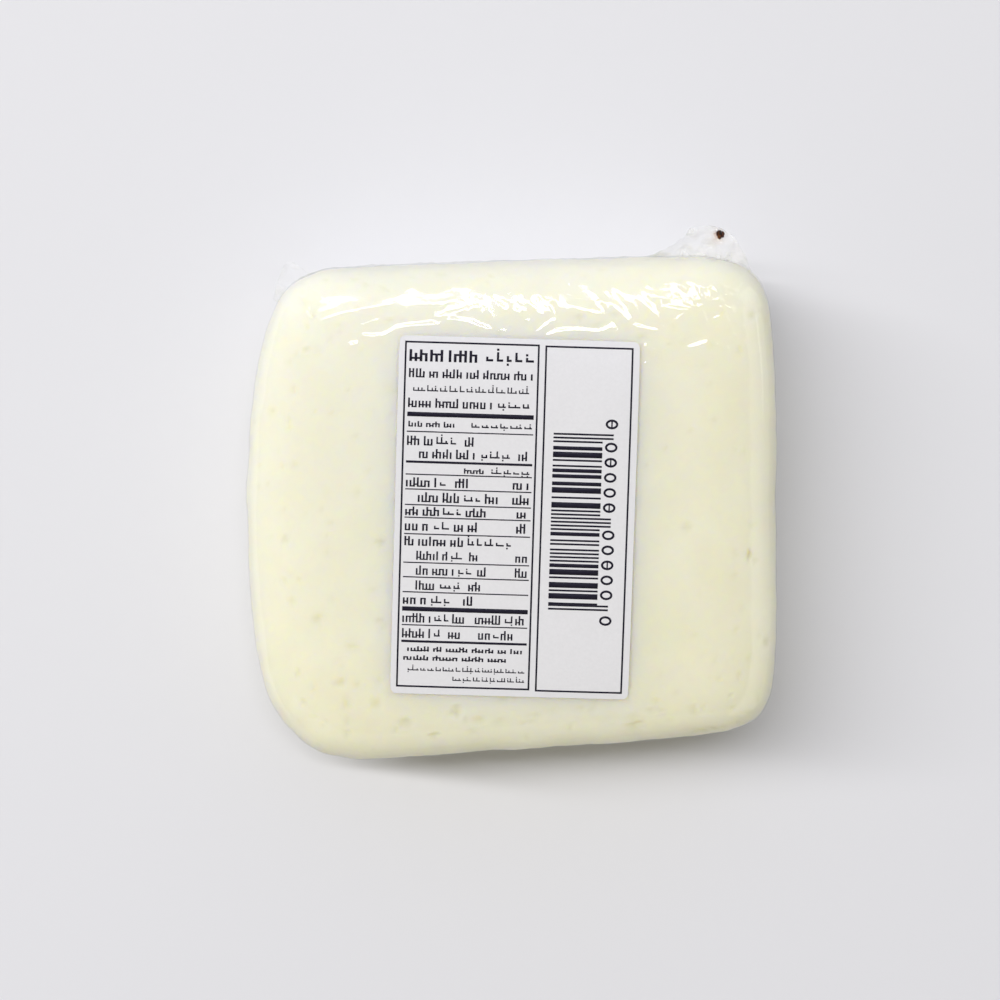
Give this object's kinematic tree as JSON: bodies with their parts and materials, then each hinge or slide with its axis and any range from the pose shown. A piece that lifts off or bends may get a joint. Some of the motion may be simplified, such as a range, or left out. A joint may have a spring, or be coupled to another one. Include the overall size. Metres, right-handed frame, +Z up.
{
  "type": "akkawi cheese",
  "caption": "Square block of white brined akkawi cheese in a tight clear film bag, with a paper label on top.",
  "frame": {"origin": "middle of the box of the whole pack, film ears included, on the surface that it lies on", "axes": "+Z up out of the face with the label, +X to the label's right, +Y towards the end that the label's first line is nearest to, where the film ears are"},
  "size_m": [0.1158, 0.117, 0.0389],
  "materials": {
    "cheese_in_film": "ivory white cheese, soft and slightly translucent, seen through tight clear film with glossy wrinkles",
    "label_paper": "white sticker paper with a slight sheen, printed in near-black"
  },
  "bodies": {
    "root": {"cheese_pack": "cheese_in_film", "label": "label_paper"}
  },
  "joints": []
}
